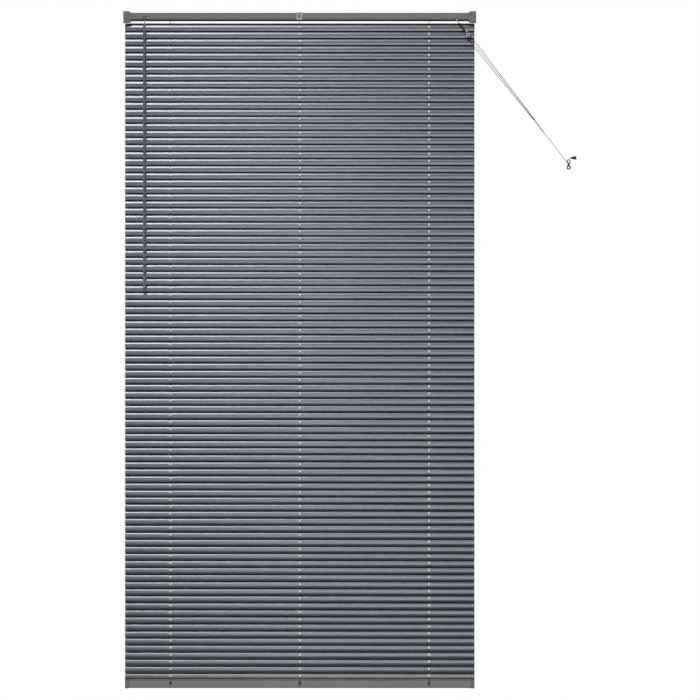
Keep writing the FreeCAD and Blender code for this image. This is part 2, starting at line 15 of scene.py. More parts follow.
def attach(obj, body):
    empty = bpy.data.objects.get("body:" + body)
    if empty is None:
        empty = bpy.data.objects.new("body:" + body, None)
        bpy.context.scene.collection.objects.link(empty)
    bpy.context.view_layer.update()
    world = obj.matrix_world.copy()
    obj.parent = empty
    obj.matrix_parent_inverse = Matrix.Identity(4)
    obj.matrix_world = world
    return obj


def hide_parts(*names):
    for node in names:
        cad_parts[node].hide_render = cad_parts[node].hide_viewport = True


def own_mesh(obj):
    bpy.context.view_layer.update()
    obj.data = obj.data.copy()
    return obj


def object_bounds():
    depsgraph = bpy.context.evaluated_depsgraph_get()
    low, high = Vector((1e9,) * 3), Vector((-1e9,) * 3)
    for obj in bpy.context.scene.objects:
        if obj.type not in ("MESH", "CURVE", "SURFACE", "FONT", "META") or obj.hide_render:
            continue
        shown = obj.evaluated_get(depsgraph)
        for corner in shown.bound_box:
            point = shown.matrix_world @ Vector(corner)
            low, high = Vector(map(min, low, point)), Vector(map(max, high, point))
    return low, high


bl_info = {
    "name": "Venetian Blind Maker",
    "version": (1, 0, 0),
    "blender": (4, 5, 0),
    "location": "View3D > Sidebar > Blind",
    "description": "Makes the slats, ladders, cords, wand and fittings of a venetian blind",
    "category": "Object",
}

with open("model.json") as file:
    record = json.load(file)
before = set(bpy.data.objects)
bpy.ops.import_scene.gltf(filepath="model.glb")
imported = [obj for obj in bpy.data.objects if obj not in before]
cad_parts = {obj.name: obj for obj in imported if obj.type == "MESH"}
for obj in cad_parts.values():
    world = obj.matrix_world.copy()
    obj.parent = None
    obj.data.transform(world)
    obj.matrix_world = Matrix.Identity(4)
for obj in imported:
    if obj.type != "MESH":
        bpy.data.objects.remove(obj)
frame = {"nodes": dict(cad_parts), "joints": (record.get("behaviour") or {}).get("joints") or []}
CAD_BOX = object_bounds()
MM = 0.001

# Places and sizes that the pieces share
JOINTS = {joint["name"]: joint for joint in frame["joints"]}
SLAT_GROUPS = sorted(name for name in frame["nodes"] if name.startswith("slats_"))
TOP_GROUP_SLATS = 2
GROUP_SLATS = 7
LAST_SLAT = 93
SLAT_PITCH = 22 * MM
FIRST_SLAT_Z = -31.2 * MM
CLOSED_TILT = math.radians(70)
BLIND_Y = JOINTS["bottom_rail_tilt"]["pos_m"][1]
RAIL_Z = JOINTS["bottom_rail_tilt"]["pos_m"][2]
LADDER_X = (-0.403, 0.0, 0.403)
RUNG_SHIFT = -0.48 * MM
FRONT_STRING_Y = -20.55 * MM
BACK_STRING_Y = -10.64 * MM
TILT_ACROSS = Vector((0, math.cos(CLOSED_TILT), math.sin(CLOSED_TILT)))
TILT_OUT = Vector((0, -math.sin(CLOSED_TILT), math.cos(CLOSED_TILT)))


def linear(hex_colour):
    """An sRGB hex colour as the linear numbers that a shader takes."""
    channels = [int(hex_colour[k : k + 2], 16) / 255 for k in (1, 3, 5)]
    return tuple(c / 12.92 if c <= 0.04045 else ((c + 0.055) / 1.055) ** 2.4 for c in channels)


# Sizes and colours that a user would change


class SlatSettings(bpy.types.PropertyGroup):
    """The slats."""

    length: FloatProperty(name="Slat length", description="End to end", default=1.09, unit="LENGTH")
    width: FloatProperty(name="Slat width", description="Across the chord", default=0.0246, unit="LENGTH")
    crown: FloatProperty(name="Crown radius", description="Of the slat's curve", default=0.035, unit="LENGTH")
    gauge: FloatProperty(name="Gauge", description="Thickness of the strip", default=0.00025, unit="LENGTH")
    colour: FloatVectorProperty(
        name="Slat enamel",
        description="Colour of the slats",
        subtype="COLOR",
        size=3,
        default=linear("#90969F"),
    )


class RailSettings(bpy.types.PropertyGroup):
    """The headrail, brackets and bottom rail."""

    rail_colour: FloatVectorProperty(
        name="Rail enamel",
        description="Colour of both rails",
        subtype="COLOR",
        size=3,
        default=linear("#8D8E8F"),
    )
    bracket_colour: FloatVectorProperty(
        name="Bracket enamel",
        description="Colour of the brackets",
        subtype="COLOR",
        size=3,
        default=linear("#848586"),
    )


class CordSettings(bpy.types.PropertyGroup):
    """The cords, the ladder strings and the wand."""

    cord_diameter: FloatProperty(
        name="Lift cord diameter", description="Of the cords inside the blind", default=0.0012, unit="LENGTH"
    )
    pull_diameter: FloatProperty(
        name="Pull cord diameter",
        description="Of the three cords to the joiner",
        default=0.0016,
        unit="LENGTH",
    )
    tail_diameter: FloatProperty(
        name="Tail diameter", description="Of the cord below the joiner", default=0.0016, unit="LENGTH"
    )
    string_diameter: FloatProperty(
        name="Ladder string diameter", description="Of the ladder strings", default=0.001, unit="LENGTH"
    )
    colour: FloatVectorProperty(
        name="Cord colour",
        description="Colour of the braid",
        subtype="COLOR",
        size=3,
        default=linear("#232426"),
    )


# Small tools


def deselect():
    """Nothing is selected or being edited."""
    if bpy.context.mode != "OBJECT":
        bpy.ops.object.mode_set(mode="OBJECT")
    bpy.ops.object.select_all(action="DESELECT")


def added(name):
    """The primitive just added, under its own name."""
    piece = bpy.context.active_object
    piece.name = name
    piece.data.name = name
    return piece


def apply_place(piece):
    """The piece's place, turn and scale go into its mesh."""
    deselect()
    bpy.context.view_layer.objects.active = piece
    piece.select_set(True)
    bpy.ops.object.transform_apply(location=True, rotation=True, scale=True)


def modify(piece, kind, **settings):
    """One modifier, added and applied."""
    deselect()
    bpy.context.view_layer.objects.active = piece
    piece.select_set(True)
    modifier = piece.modifiers.new(kind.title(), kind)
    for key, value in settings.items():
        setattr(modifier, key, value)
    bpy.ops.object.modifier_apply(modifier=modifier.name)


def edit_where(piece, kind, test):
    """Edit mode with only the faces, edges or vertices that pass the test selected."""
    deselect()
    bpy.context.view_layer.objects.active = piece
    piece.select_set(True)
    bpy.ops.object.mode_set(mode="EDIT")
    bpy.ops.mesh.select_mode(type=kind)
    bpy.ops.mesh.select_all(action="DESELECT")
    mesh = bmesh.from_edit_mesh(piece.data)
    items = {"VERT": mesh.verts, "EDGE": mesh.edges, "FACE": mesh.faces}[kind]
    for item in items:
        item.select_set(bool(test(item)))
    mesh.select_flush_mode()
    bmesh.update_edit_mesh(piece.data)


def smooth(piece, degrees=35):
    """Smooth shading with sharp edges kept."""
    deselect()
    bpy.context.view_layer.objects.active = piece
    piece.select_set(True)
    bpy.ops.object.shade_smooth_by_angle(angle=math.radians(degrees))


def joined(pieces, name):
    """Several pieces as one."""
    deselect()
    for piece in pieces:
        piece.select_set(True)
    bpy.context.view_layer.objects.active = pieces[0]
    bpy.ops.object.join()
    pieces[0].name = name
    return pieces[0]


def copy_at(piece, name, matrix):
    """A copy with its own mesh, moved by the matrix."""
    mesh = piece.data.copy()
    mesh.transform(matrix)
    copy = bpy.data.objects.new(name, mesh)
    bpy.context.scene.collection.objects.link(copy)
    return copy


def remove(piece):
    """A pattern piece that is not part of the blind."""
    bpy.data.objects.remove(piece, do_unlink=True)


def paint(piece, *materials):
    """The piece's material slots are these."""
    piece.data.materials.clear()
    for material in materials:
        piece.data.materials.append(material)


def paint_node(name, material):
    """A CAD node's slots all take this material."""
    piece = frame["nodes"][name]
    if not piece.material_slots:
        piece.data.materials.append(material)
    for entry in piece.material_slots:
        entry.material = material


def spline_curve(name, points, radius):
    """A round cord on a smooth NURBS line, as a curve object."""
    data = bpy.data.curves.new(name, "CURVE")
    data.dimensions = "3D"
    spline = data.splines.new("NURBS")
    spline.points.add(len(points) - 1)
    for point, place in zip(spline.points, points):
        point.co = (*place, 1)
    spline.order_u = 3
    spline.use_endpoint_u = True
    spline.resolution_u = 8
    data.resolution_u = 8
    data.bevel_depth = radius
    data.bevel_resolution = 3
    data.use_fill_caps = True
    curve = bpy.data.objects.new(name, data)
    bpy.context.scene.collection.objects.link(curve)
    return curve


def as_mesh(curve):
    """A curve piece turned into a mesh piece."""
    deselect()
    bpy.context.view_layer.objects.active = curve
    curve.select_set(True)
    bpy.ops.object.convert(target="MESH")
    return bpy.context.active_object


def straight_cord(name, start, end, radius, sides=8):
    """A straight round string between two points, as a capped cylinder."""
    start, end = Vector(start), Vector(end)
    along = end - start
    deselect()
    bpy.ops.mesh.primitive_cylinder_add(vertices=sides, radius=radius, depth=along.length)
    cord = added(name)
    turn = along.to_track_quat("Z", "Y").to_matrix().to_4x4()
    cord.data.transform(Matrix.Translation((start + end) / 2) @ turn)
    smooth(cord, 50)
    return cord


# Materials


def node(material, kind, settings=None, links=None):
    """One shader node with its settings, and its inputs linked from other nodes' outputs."""
    tree = material.node_tree
    made = tree.nodes.new(kind)
    for key, value in (settings or {}).items():
        if key in made.inputs:
            made.inputs[key].default_value = value
        else:
            setattr(made, key, value)
    for key, source in (links or {}).items():
        tree.links.new(source, made.inputs[key])
    return made


def new_material(name, roughness, metallic=0.0, **inputs):
    """An empty material with one Principled shader."""
    material = bpy.data.materials.new(name)
    material.use_nodes = True
    material.node_tree.nodes.clear()
    settings = {"Roughness": roughness, "Metallic": metallic, **inputs}
    shader = node(material, "ShaderNodeBsdfPrincipled", settings)
    node(material, "ShaderNodeOutputMaterial", links={"Surface": shader.outputs["BSDF"]})
    return material, shader


def pattern_place(material, scale=(1, 1, 1)):
    """Object coordinates in metres, stretched by a scale."""
    place = node(material, "ShaderNodeTexCoord")
    return node(material, "ShaderNodeMapping", {"Scale": scale}, {"Vector": place.outputs["Object"]})


def blend_colours(material, factor, dark, light, low=0.35, high=0.65):
    """Two colours blended by a pattern."""
    ramp = node(material, "ShaderNodeValToRGB", links={"Fac": factor})
    ramp.color_ramp.elements[0].position = low
    ramp.color_ramp.elements[1].position = high
    ramp.color_ramp.elements[0].color = (*dark, 1)
    ramp.color_ramp.elements[1].color = (*light, 1)
    return ramp.outputs["Color"]


def shade_of(colour, share):
    """A colour made lighter or darker."""
    return tuple(min(1.0, c * share) for c in colour)


def add_bump(material, shader, height, depth, strength):
    """A bump of a real depth in metres."""
    bump = node(material, "ShaderNodeBump", {"Strength": strength, "Distance": depth}, {"Height": height})
    material.node_tree.links.new(bump.outputs["Normal"], shader.inputs["Normal"])


def noise(material, place, size_mm, detail):
    """Soft noise whose patches are about this many millimetres across."""
    settings = {"Scale": 1 / (size_mm * MM), "Detail": detail}
    return node(material, "ShaderNodeTexNoise", settings, {"Vector": place.outputs[0]}).outputs["Fac"]


def paint_shade_below(material, tone):
    """The colour, painted near black as painted shade on the faces that look down."""
    surface = node(material, "ShaderNodeTexCoord")
    facing = node(material, "ShaderNodeSeparateXYZ", links={"Vector": surface.outputs["Normal"]})
    # Mask of the painted shade: the more a face looks down, the darker it is painted.
    downward = {"From Min": -0.3, "From Max": -0.45}
    under = node(material, "ShaderNodeMapRange", downward, {"Value": facing.outputs["Z"]})
    painted_shade = node(material, "ShaderNodeMix", {"data_type": "RGBA"})
    material.node_tree.links.new(under.outputs["Result"], painted_shade.inputs[0])
    material.node_tree.links.new(tone, painted_shade.inputs[6])
    # The painted shade's colour, near black, standing in for the shade under the rail.
    painted_shade.inputs[7].default_value = (*linear("#1A1A1B"), 1)
    return painted_shade.outputs[2]


def enamel(name, colour, roughness, metallic, variation=0.05, shade_below_painted=False):
    """Baked enamel on rolled strip: an even satin film with slow changes of shade, and, if asked, painted
    shade on the faces that look down.
    """
    material, shader = new_material(name, roughness, metallic)
    cloud = noise(material, pattern_place(material), 180, 3.0)
    darker, lighter = shade_of(colour, 1 - variation), shade_of(colour, 1 + variation)
    tone = blend_colours(material, cloud, darker, lighter)
    # Painted shade: the faces that look down are painted near black.
    if shade_below_painted:
        tone = paint_shade_below(material, tone)
    material.node_tree.links.new(tone, shader.inputs["Base Color"])
    smoother, rougher = roughness * (1 - 2 * variation), roughness * (1 + 2 * variation)
    rough = node(material, "ShaderNodeMapRange", {"To Min": smoother, "To Max": rougher}, {"Value": cloud})
    material.node_tree.links.new(rough.outputs["Result"], shader.inputs["Roughness"])
    return material


def moulded(name, colour, roughness=0.42, grain_mm=0.6):
    """Injection-moulded plastic: a fine spark-eroded grain and soft highlights."""
    material, shader = new_material(name, roughness, IOR=1.49)
    grain = noise(material, pattern_place(material), grain_mm, 4.0)
    tone = blend_colours(material, grain, shade_of(colour, 0.93), shade_of(colour, 1.07))
    material.node_tree.links.new(tone, shader.inputs["Base Color"])
    add_bump(material, shader, grain, 0.03 * MM, 0.4)
    return material


def plated(name, colour, roughness):
    """Zinc-plated or polished metal with fine drawn lines along its length."""
    material, shader = new_material(name, roughness, 1.0)
    place = pattern_place(material, (1 / (40 * MM), 1 / (0.25 * MM), 1 / (0.25 * MM)))
    lines = node(material, "ShaderNodeTexNoise", {"Scale": 1.0, "Detail": 2.0}, {"Vector": place.outputs[0]})
    tone = blend_colours(material, lines.outputs["Fac"], shade_of(colour, 0.86), shade_of(colour, 1.06))
    material.node_tree.links.new(tone, shader.inputs["Base Color"])
    add_bump(material, shader, lines.outputs["Fac"], 0.01 * MM, 0.3)
    return material


def braid(name, colour, pick_mm):
    """Braided polyester: two sets of yarns that cross, drawn coarser than a real braid so that they show."""
    material, shader = new_material(name, 0.8, **{"Sheen Weight": 0.25, "Sheen Roughness": 0.4})
    place = pattern_place(material)
    waves = []
    for lean in (1, -1):
        rotation = (0, lean * math.radians(50), 0)
        turned = node(material, "ShaderNodeMapping", {"Rotation": rotation}, {"Vector": place.outputs[0]})
        wave = node(
            material,
            "ShaderNodeTexWave",
            {"Scale": 0.314 / (pick_mm * MM), "Distortion": 0.4, "bands_direction": "Z"},
            {"Vector": turned.outputs[0]},
        )
        waves.append(wave.outputs["Fac"])
    both = node(material, "ShaderNodeMath", {"operation": "MAXIMUM"})
    for socket, wave in zip(both.inputs, waves):
        material.node_tree.links.new(wave, socket)
    tone = blend_colours(material, both.outputs[0], shade_of(colour, 0.72), shade_of(colour, 1.08), 0.3, 0.9)
    material.node_tree.links.new(tone, shader.inputs["Base Color"])
    add_bump(material, shader, both.outputs[0], 0.12 * MM, 0.6)
    return material


def clear_plastic(name):
    """Clear polycarbonate clip, slightly milky from its moulding."""
    material, shader = new_material(
        name, 0.22, **{"IOR": 1.58, "Transmission Weight": 0.35, "Specular IOR Level": 0.5}
    )
    haze = noise(material, pattern_place(material), 6, 2.0)
    tone = blend_colours(material, haze, linear("#DCDEDF"), linear("#F2F3F3"))
    material.node_tree.links.new(tone, shader.inputs["Base Color"])
    return material


def plain_floor(name):
    """A pale matt floor."""
    material, shader = new_material(name, 0.9)
    place = pattern_place(material)
    mottle = node(material, "ShaderNodeTexNoise", {"Scale": 1.5, "Detail": 2.0}, {"Vector": place.outputs[0]})
    tone = blend_colours(material, mottle.outputs["Fac"], linear("#F3F3F2"), linear("#F8F8F7"))
    material.node_tree.links.new(tone, shader.inputs["Base Color"])
    return material


FINISH = {}


def make_finishes():
    """Every material of the blind, by a plain name."""
    scene = bpy.context.scene
    slat_colour = tuple(scene.blind_slats.colour)
    rail_colour = tuple(scene.blind_rails.rail_colour)
    bracket_colour = tuple(scene.blind_rails.bracket_colour)
    cord_colour = tuple(scene.blind_cords.colour)
    FINISH["slat"] = enamel("Coil-coated aluminium strip", slat_colour, 0.28, 0.94, 0.006)
    # The headrail's faces that look down are painted near black as painted shade.
    FINISH["headrail"] = enamel("Enamelled roll-formed steel", rail_colour, 0.36, 0.1, 0.02, True)
    FINISH["rail"] = enamel("Enamelled steel tube", rail_colour, 0.36, 0.1, 0.02)
    FINISH["bracket"] = enamel("Enamelled pressed steel", bracket_colour, 0.4, 0.1)
    FINISH["cord"] = braid("Braided polyester cord", cord_colour, 1.4)
    FINISH["ladder"] = braid("Woven polyester ladder string", linear("#55585C"), 1.6)
    FINISH["nylon"] = moulded("Moulded nylon", linear("#DAD9D4"), 0.5)
    FINISH["cap"] = moulded("Moulded grey acetal", linear("#7C7D7F"), 0.4)
    FINISH["dark"] = moulded("Moulded dark ABS", linear("#2E2F31"), 0.38)
    FINISH["pale"] = moulded("Moulded pale acetal", linear("#DCDDDE"), 0.35)
    FINISH["wand"] = moulded("Extruded grey acrylic", linear("#6E7278"), 0.18, 8.0)
    FINISH["zinc"] = plated("Zinc-plated steel", linear("#B9BABC"), 0.33)
    FINISH["brass"] = plated("Turned brass", linear("#E3CF83"), 0.25)
    FINISH["clear"] = clear_plastic("Clear polycarbonate")


# Slats and ladders


def slat_numbers(index):
    """First and last slat number of a group, counted from 1 at the top."""
    if index == 0:
        return 1, TOP_GROUP_SLATS
    first = TOP_GROUP_SLATS + 1 + GROUP_SLATS * (index - 1)
    return first, first + GROUP_SLATS - 1


def slat_z(number):
    """Height of one slat's middle."""
    return FIRST_SLAT_Z - SLAT_PITCH * (number - 1)


def flat_slat():
    """A crowned strip lying level, with rounded corners and a slot at each ladder."""
    sizes = bpy.context.scene.blind_slats
    spread = math.asin(sizes.width / 2 / sizes.crown)
    developed = 2 * spread * sizes.crown
    deselect()
    bpy.ops.mesh.primitive_plane_add(size=1)
    slat = added("slat_pattern")
    slat.scale = (sizes.length, developed, 1)
    apply_place(slat)
    edit_where(slat, "VERT", lambda v: True)
    bpy.ops.mesh.bevel(offset=3 * MM, segments=4, affect="VERTICES")
    for k in range(1, 10):
        bpy.ops.mesh.select_all(action="SELECT")
        bpy.ops.mesh.bisect(plane_co=(0, developed * (k / 10 - 0.5), 0), plane_no=(0, 1, 0))
    bpy.ops.object.mode_set(mode="OBJECT")
    for vertex in slat.data.vertices:
        angle = vertex.co.y / sizes.crown
        vertex.co.y = sizes.crown * math.sin(angle)
        vertex.co.z = sizes.crown * (math.cos(angle) - math.cos(spread))
    modify(slat, "SOLIDIFY", thickness=sizes.gauge, offset=1)
    for x in LADDER_X:
        deselect()
        bpy.ops.mesh.primitive_cylinder_add(
            vertices=12, radius=2.5 * MM, depth=8 * MM, location=(x, 0, 2 * MM)
        )
        cutter = added("slot_cutter")
        apply_place(cutter)
        edit_where(cutter, "VERT", lambda v: v.co.y > 0.1 * MM)
        bpy.ops.transform.translate(value=(0, 2 * MM, 0))
        edit_where(cutter, "VERT", lambda v: v.co.y < -0.1 * MM)
        bpy.ops.transform.translate(value=(0, -2 * MM, 0))
        deselect()
        modify(slat, "BOOLEAN", object=cutter, operation="DIFFERENCE", solver="EXACT")
        remove(cutter)
    smooth(slat, 30)
    return slat


def rung_set():
    """The three rungs under one slat at the closed tilt, from string to string, for a slat at the origin."""
    front_y = -5.05 * MM
    back_y = 4.86 * MM
    below = 0.45 * MM
    rungs = []
    for x in LADDER_X:
        aside = x + RUNG_SHIFT
        base_y = below * math.sin(CLOSED_TILT)
        base_z = -below * math.cos(CLOSED_TILT)
        front = Vector((aside, front_y, base_z + (front_y - base_y) * math.tan(CLOSED_TILT)))
        back = Vector((aside, back_y, base_z + (back_y - base_y) * math.tan(CLOSED_TILT)))
        rungs.append(straight_cord("rung", front, back, 0.35 * MM, 6))
    return joined(rungs, "rung_pattern")


def own_axis_shift(from_axis):
    """How a slat is moved in its group's frame, to have turned about its own middle at the open limit."""
    offset = Vector((0, 0, from_axis))
    return Matrix.Rotation(CLOSED_TILT, 3, "X") @ offset - offset


def shift_with(piece, shift):
    """Gives the piece its own mesh, unless the shift is nil.
    """
    if shift.length < 1e-7:
        return
    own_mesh(piece)


class BLIND_OT_slats(bpy.types.Operator):
    """Makes every slat with its ladder rungs"""

    bl_idname = "blind.slats"
    bl_label = "Slats"

    def execute(self, context):
        slat = flat_slat()
        paint(slat, FINISH["slat"])
        slat.data.transform(Matrix.Rotation(CLOSED_TILT, 4, "X"))
        rungs = rung_set()
        paint(rungs, FINISH["ladder"])
        pattern = joined([slat, rungs], "slat_and_rungs")
        for index, group in enumerate(SLAT_GROUPS):
            first, last = slat_numbers(index)
            axis_z = (slat_z(first) + slat_z(last)) / 2
            for number in range(first, last + 1):
                centre = Vector((0, BLIND_Y, slat_z(number)))
                piece = copy_at(pattern, "slat_%02d" % number, Matrix.Translation(centre))
                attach(piece, group)
                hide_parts(group)
                shift_with(piece, own_axis_shift(slat_z(number) - axis_z))
        remove(pattern)
        return {"FINISHED"}


def string_run(name, y, top, low, radius):
    """One straight string at each ladder, all as one piece."""
    strings = []
    for x in LADDER_X:
        strings.append(straight_cord(name, (x, y, top), (x, y, low), radius, 8))
    return joined(strings, name)


class BLIND_OT_ladders(bpy.types.Operator):
    """Makes the front and back strings of the three ladders"""

    bl_idname = "blind.ladders"
    bl_label = "Ladder strings"

    def execute(self, context):
        radius = context.scene.blind_cords.string_diameter / 2
        lever = 12.4 * MM
        rise = lever * math.sin(CLOSED_TILT)
        reach = lever * (1 - math.cos(CLOSED_TILT))
        for index, group in enumerate(SLAT_GROUPS):
            first, last = slat_numbers(index)
            section = group.replace("slats", "ladder_section")
            body = "root" if index == 0 else group.replace("slats", "ladder")
            for side, y, drop, way in (
                ("front", FRONT_STRING_Y, -5 * MM, -1),
                ("back", BACK_STRING_Y, 3 * MM, 1),
            ):
                top = slat_z(first) + SLAT_PITCH / 2 + drop
                low = slat_z(last) - SLAT_PITCH / 2 + drop
                piece = string_run("ladder_%s_%02d" % (side, index + 1), y, top, low, radius)
                paint(piece, FINISH["ladder"])
                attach(piece, body)
                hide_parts(section)
                shift = Vector((0, way * reach, -way * rise))
                shift_with(piece, shift)
        return {"FINISHED"}


class BLIND_OT_drum_strings(bpy.types.Operator):
    """Makes the strings from the top slat to the drums, and those from the last slat to the bottom rail"""

    bl_idname = "blind.drum_strings"
    bl_label = "Ladder ends"

    def execute(self, context):
        radius = context.scene.blind_cords.string_diameter / 2
        ends = []
        for x in LADDER_X:
            front_end = [
                (x, -24.0 * MM, 0.0),
                (x, -23.6 * MM, -8 * MM),
                (x, FRONT_STRING_Y, -20 * MM),
                (x, FRONT_STRING_Y, -26 * MM),
            ]
            back_end = [
                (x, -7.0 * MM, 0.0),
                (x, -7.4 * MM, -8 * MM),
                (x, BACK_STRING_Y, -14 * MM),
                (x, BACK_STRING_Y, -18 * MM),
            ]
            ends.append(as_mesh(spline_curve("end", front_end, radius)))
            ends.append(as_mesh(spline_curve("end", back_end, radius)))
        top = joined(ends, "ladder_tops")
        paint(top, FINISH["ladder"])
        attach(top, "root")
        tails = []
        for x in LADDER_X:
            centre = Vector((x, BLIND_Y, RAIL_Z))
            aside = Vector((-1.7 * MM, 0, 0))
            front_tail = [
                (x, FRONT_STRING_Y, slat_z(LAST_SLAT) - 16.3 * MM),
                (x - 1.1 * MM, FRONT_STRING_Y - 0.05 * MM, slat_z(LAST_SLAT) - 18 * MM),
                centre + TILT_ACROSS * 3.88 * MM + TILT_OUT * 6.89 * MM + aside,
                centre - TILT_ACROSS * 11 * MM + TILT_OUT * 6.35 * MM + aside,
            ]
            tails.append(as_mesh(spline_curve("tail", front_tail, radius)))
            back_start = (x, BACK_STRING_Y, slat_z(LAST_SLAT) - 8 * MM)
            back_end = centre + TILT_ACROSS * 13.4 * MM - TILT_OUT * 0.5 * MM
            tails.append(straight_cord("tail", back_start, back_end, radius))
        low = joined(tails, "ladder_tails_run")
        paint(low, FINISH["ladder"])
        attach(low, "rail_lift")
        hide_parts("ladder_tails")
        return {"FINISHED"}


# Cords


LOCK_X = 0.4895
CORD_OVER_ROLLER_Z = -4.45 * MM
ROLLER_SIDE = 3.85 * MM
CORD_ROLLER_Y = (-23.4 * MM, -26.6 * MM, -25.0 * MM)
CORD_ROW_Y = (-13.5 * MM, -17.5 * MM, -15.5 * MM)
PULL_CORD_LOW_Z = -14.3 * MM
PULL_CORD_SPACING = 1.65 * MM
CORD_FAN = (
    Vector((0.550, -0.0286, -0.0808)),
    Vector((0.548, -0.0322, -0.0892)),
    Vector((0.546, -0.0282, -0.0984)),
)
LIFT_CORD_SHIFT = 0.5 * MM
LIFT_CORD_Y = -17.2 * MM
LIFT_CORD_LEVEL_Z = -9.9 * MM
LIFT_CORD_TOP_Z = -14 * MM
JOINER_TOP = Vector((0.731, -0.0252, -0.321))
JOINER_END = Vector((0.758, -0.0244, -0.357))
CLEAT = Vector((0.839, 0, -0.4595))
# In millimetres from the cleat's middle
CORD_ON_CLEAT = (
    (0.0, -15.2, 0.0), (3.0, -15.0, -3.6), (6.6, -12.6, -7.8), (5.7, -12.2, -13.9),
    (0.0, -12.0, -16.5), (-5.7, -12.2, -13.9), (-6.6, -12.8, -7.8), (-3.0, -16.8, -3.6),
    (0.0, -17.0, 0.0), (4.0, -16.5, 7.0), (2.9, -16.5, 20.0), (15.0, -16.5, 20.0),
)


class BLIND_OT_lift_cords(bpy.types.Operator):
    """Makes the lift cords, in the headrail and down through the slats"""

    bl_idname = "blind.lift_cords"
    bl_label = "Lift cords"

    def execute(self, context):
        radius = context.scene.blind_cords.cord_diameter / 2
        runs, drops = [], []
        for k in range(3):
            x = LADDER_X[2 - k] + LIFT_CORD_SHIFT
            roller_y, row_y = CORD_ROLLER_Y[k], CORD_ROW_Y[k]
            run = [
                (LOCK_X - 0.5 * MM, roller_y, CORD_OVER_ROLLER_Z),
                (LOCK_X - 3 * MM, roller_y, CORD_OVER_ROLLER_Z),
                (LOCK_X - 5.5 * MM, roller_y, CORD_OVER_ROLLER_Z),
                (LOCK_X - 12 * MM, row_y, LIFT_CORD_LEVEL_Z),
                (LOCK_X - 18 * MM, row_y, LIFT_CORD_LEVEL_Z),
                (x + 12 * MM, row_y, LIFT_CORD_LEVEL_Z),
                (x + 2 * MM, row_y, LIFT_CORD_LEVEL_Z),
                (x, LIFT_CORD_Y, -12.5 * MM),
                (x, LIFT_CORD_Y, LIFT_CORD_TOP_Z),
            ]
            runs.append(as_mesh(spline_curve("run", run, radius)))
            centre = Vector((x, BLIND_Y, RAIL_Z))
            aside = Vector((1.1 * MM, 0, 0))
            drop = [
                (x, LIFT_CORD_Y, LIFT_CORD_TOP_Z),
                (x, LIFT_CORD_Y, -300 * MM),
                (x, LIFT_CORD_Y, RAIL_Z + 40 * MM),
                (x, LIFT_CORD_Y, RAIL_Z + 17.5 * MM),
                centre + TILT_ACROSS * 6 * MM + TILT_OUT * 6.9 * MM + aside,
                centre + TILT_ACROSS * 0.8 * MM + TILT_OUT * 7.1 * MM,
                centre + TILT_OUT * 6.3 * MM,
                centre + TILT_OUT * 3 * MM,
            ]
            drops.append(as_mesh(spline_curve("drop", drop, radius)))
        inside = joined(runs, "lift_cord_runs")
        falls = joined(drops, "lift_cord_falls")
        for piece in (inside, falls):
            paint(piece, FINISH["cord"])
            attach(piece, "root")
            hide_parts("lift_cords")
        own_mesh(falls)
        return {"FINISHED"}


class BLIND_OT_pull_cords(bpy.types.Operator):
    """Makes the three pull cords and the single cord from the joiner round the cleat"""

    bl_idname = "blind.pull_cords"
    bl_label = "Pull cords"

    def execute(self, context):
        cords = context.scene.blind_cords
        along = (JOINER_END - JOINER_TOP).normalized()
        for k, y in enumerate(CORD_ROLLER_Y):
            side = Vector((0.8, 0, 0.6)) * (1 - k) * PULL_CORD_SPACING
            end = JOINER_TOP - along * 0.15 * MM + side
            start = Vector((LOCK_X - 0.5 * MM, y, CORD_OVER_ROLLER_Z))
            corner = Vector((LOCK_X + ROLLER_SIDE, y, CORD_OVER_ROLLER_Z))
            bend = Vector((LOCK_X + ROLLER_SIDE, y, PULL_CORD_LOW_Z))
            fan = CORD_FAN[k]
            points = [start, corner, bend, bend.lerp(fan, 0.12), bend.lerp(fan, 0.6), fan]
            points += [fan.lerp(end, 0.3), end]
            cord = spline_curve("pull_cord_%d" % (k + 1), points, cords.pull_diameter / 2)
            paint(cord, FINISH["cord"])
            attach(cord, "root")
            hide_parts("pull_cords")
        points = [JOINER_END - along * 10 * MM, JOINER_END + along * 7 * MM]
        points += [CLEAT + Vector(place) * MM for place in CORD_ON_CLEAT]
        tail = spline_curve("pull_cord_tail", points, cords.tail_diameter / 2)
        paint(tail, FINISH["cord"])
        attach(tail, "root")
        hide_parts("pull_cord_lower")
        return {"FINISHED"}


# Stage


WHITE = (1, 1, 1, 1)
LIGHT_FROM_ABOVE = 0.11
FLOOR_SIZE = (8, 5, 1)
FLOOR_PLACE = (0, -1.2)
FLOOR_GAP = 0.2
# Name, place, size and power of each soft lamp
LAMPS = (
    ("key", (-1.6, -7.0, 7.5), 2.0, 138),
    ("front", (0.4, -5.2, 0.9), 2.0, 18),
    ("left", (-4.8, -3.2, -0.6), 2.0, 100),
    ("right", (4.8, -3.2, -0.6), 2.0, 85),
)
LAMP_TARGET = Vector((0, 0, -1.0))
CAMERA_X = 0.1567
CAMERA_Z = -1.0386
CAMERA_DISTANCE = 14.0
# The view is VIEW_WIDTH wide in this plane, CAMERA_DISTANCE from the camera
VIEW_PLANE_Y = -0.020
VIEW_WIDTH = 2.183
SENSOR_WIDTH = 36


